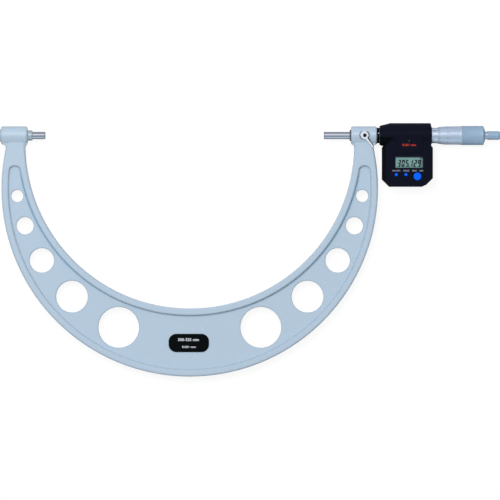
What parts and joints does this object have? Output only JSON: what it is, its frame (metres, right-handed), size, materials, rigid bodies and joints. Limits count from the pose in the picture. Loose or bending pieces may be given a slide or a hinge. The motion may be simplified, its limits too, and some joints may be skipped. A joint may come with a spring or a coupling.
{
  "type": "digital micrometer",
  "caption": "Digital outside micrometer for large work: C-shaped frame with lightening holes, display head with keys, spindle clamp lever, graduated thimble and ratchet knob",
  "frame": {"origin": "middle of the anvil's measuring face", "axes": "+X along the spindle axis from the anvil towards the head, +Y from the bow of the frame to the spindle axis, +Z out of the face with the display. At rest the instrument lies on its back, with the display facing up"},
  "size_m": [0.5489, 0.2777, 0.0277],
  "materials": {
    "frame_paint": "fine textured hammer paint, half gloss",
    "black_plate": "satin black",
    "ground_steel": "ground and polished",
    "hard_metal": "lapped",
    "satin_steel": "turned, satin",
    "satin_chrome": "satin chrome",
    "bright_chrome": "polished",
    "dark_steel": "blackened",
    "black_ring": "blackened, satin",
    "brass": "turned",
    "black_rubber": "matt",
    "board_green": "coated board",
    "amber_film": "film",
    "black_housing": "moulded, half matt",
    "clear_window": "clear",
    "lcd_glass": "liquid crystal display",
    "chip_black": "moulded",
    "blue_button": "moulded, satin",
    "battery_steel": "nickel plated"
  },
  "bodies": {
    "body": {"frame": "frame_paint", "name_plate": "black_plate", "anvil": "ground_steel", "anvil_tip": "hard_metal", "anvil_collar": "satin_steel", "anvil_end_cap": "frame_paint", "spindle_bush": "satin_steel", "spindle_seal": "black_rubber", "clamp_shoe": "brass", "lock_ring": "black_ring", "locating_pin": "ground_steel", "main_barrel": "satin_steel", "inner_sleeve": "satin_steel", "outer_sleeve": "satin_chrome", "adjusting_nut": "brass", "bearing_ring": "brass", "encoder_stator": "board_green", "flex_cable": "amber_film", "front_cover": "black_housing", "rear_cover": "black_housing", "display_window": "clear_window", "lcd_panel": "lcd_glass", "lcd_holder": "black_housing", "circuit_board": "board_green", "processor_chip": "chip_black", "button_pad": "black_rubber", "battery": "battery_steel", "battery_contact": "brass", "cover_screws": "dark_steel", "board_screws": "dark_steel"},
    "rotor": {"rotor_hub": "satin_steel", "rotor_key": "dark_steel", "hub_clip": "dark_steel", "encoder_rotor": "board_green"},
    "spindle": {"spindle": "ground_steel", "spindle_tip": "hard_metal", "thimble": "satin_chrome", "ratchet_driver": "ground_steel", "ratchet_screw": "dark_steel"},
    "knob": {"ratchet_knob": "satin_chrome", "ratchet_pawl": "brass", "ratchet_spring": "dark_steel"},
    "clamp": {"clamp_lever": "bright_chrome", "clamp_stud": "ground_steel", "clamp_screw": "dark_steel"},
    "left_button": {"left_button": "blue_button"},
    "middle_button": {"middle_button": "blue_button"},
    "large_button": {"large_button": "blue_button"},
    "battery_cap": {"battery_cap": "black_housing", "cap_o_ring": "black_rubber"}
  },
  "joints": [
    {"name": "thimble_turn", "type": "hinge", "parent": "body", "child": "rotor", "pos_m": [0.3933, 0, 0], "axis": [1, 0, 0], "range_deg": [-3730, 14450]},
    {"name": "spindle_feed", "type": "slide", "parent": "rotor", "child": "spindle", "axis": [1, 0, 0], "range_m": [-0.00513, 0.01987]},
    {"name": "ratchet_turn", "type": "hinge", "parent": "spindle", "child": "knob", "pos_m": [0.49, 0, 0], "axis": [1, 0, 0], "continuous": true},
    {"name": "clamp_turn", "type": "hinge", "parent": "body", "child": "clamp", "pos_m": [0.3498, 0, 0.011], "axis": [0, 0, 1], "range_deg": [-40, 20]},
    {"name": "left_button_press", "type": "slide", "parent": "body", "child": "left_button", "axis": [0, 0, -1], "range_m": [0, 0.0006], "stiffness_N_per_m": 2500},
    {"name": "middle_button_press", "type": "slide", "parent": "body", "child": "middle_button", "axis": [0, 0, -1], "range_m": [0, 0.0006], "stiffness_N_per_m": 2500},
    {"name": "large_button_press", "type": "slide", "parent": "body", "child": "large_button", "axis": [0, 0, -1], "range_m": [0, 0.0006], "stiffness_N_per_m": 2500},
    {"name": "battery_cap_turn", "type": "hinge", "parent": "body", "child": "battery_cap", "pos_m": [0.3875, -0.031, -0.008], "axis": [0, 0, -1], "range_deg": [0, 60]}
  ],
  "couplings": [
    {"joint": "thimble_turn", "follows": "spindle_feed", "rad_per_m": 12566}
  ]
}
